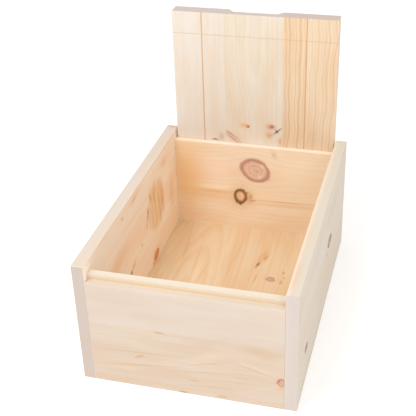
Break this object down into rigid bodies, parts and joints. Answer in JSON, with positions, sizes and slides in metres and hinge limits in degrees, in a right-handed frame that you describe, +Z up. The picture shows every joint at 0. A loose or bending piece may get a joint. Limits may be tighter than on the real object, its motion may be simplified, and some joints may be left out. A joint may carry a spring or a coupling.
{
  "type": "wooden toy box",
  "caption": "Open rectangular box of pale untreated pine boards with a loose grooved lid that lifts off and parks upright behind the back board.",
  "frame": {"origin": "on the ground in the middle of the whole object's plan, lid parked upright at the back", "axes": "+Z up; +Y from the stepped front board towards the back board and the lid; +X to the right seen from the front"},
  "size_m": [0.31, 0.4512, 0.403],
  "materials": {
    "side_pine": "sanded, untreated",
    "front_pine_lower": "sanded, untreated",
    "front_pine_upper": "sanded, untreated",
    "back_pine": "sanded, untreated",
    "floor_pine": "sanded, untreated",
    "lid_pine_left": "sanded, untreated",
    "lid_pine_middle": "sanded, untreated",
    "lid_pine_right": "sanded, untreated",
    "dowel_beech": "raw"
  },
  "bodies": {
    "box": {"side_left": "side_pine", "side_right": "side_pine", "front_board_lower": "front_pine_lower", "front_board_upper": "front_pine_upper", "back_board": "back_pine", "bottom_panel": "floor_pine", "dowel_front_left_1": "dowel_beech", "dowel_front_left_2": "dowel_beech", "dowel_front_left_3": "dowel_beech", "dowel_front_right_1": "dowel_beech", "dowel_front_right_2": "dowel_beech", "dowel_front_right_3": "dowel_beech", "dowel_back_left_1": "dowel_beech", "dowel_back_left_2": "dowel_beech", "dowel_back_left_3": "dowel_beech", "dowel_back_right_1": "dowel_beech", "dowel_back_right_2": "dowel_beech", "dowel_back_right_3": "dowel_beech"},
    "lid": {"lid_stave_left": "lid_pine_left", "lid_stave_middle": "lid_pine_middle", "lid_stave_right": "lid_pine_right"}
  },
  "joints": [
    {"name": "lid_lift", "type": "slide", "parent": "box", "child": "lid", "axis": [0, 0, 1], "range_m": [0, 0.22]}
  ]
}
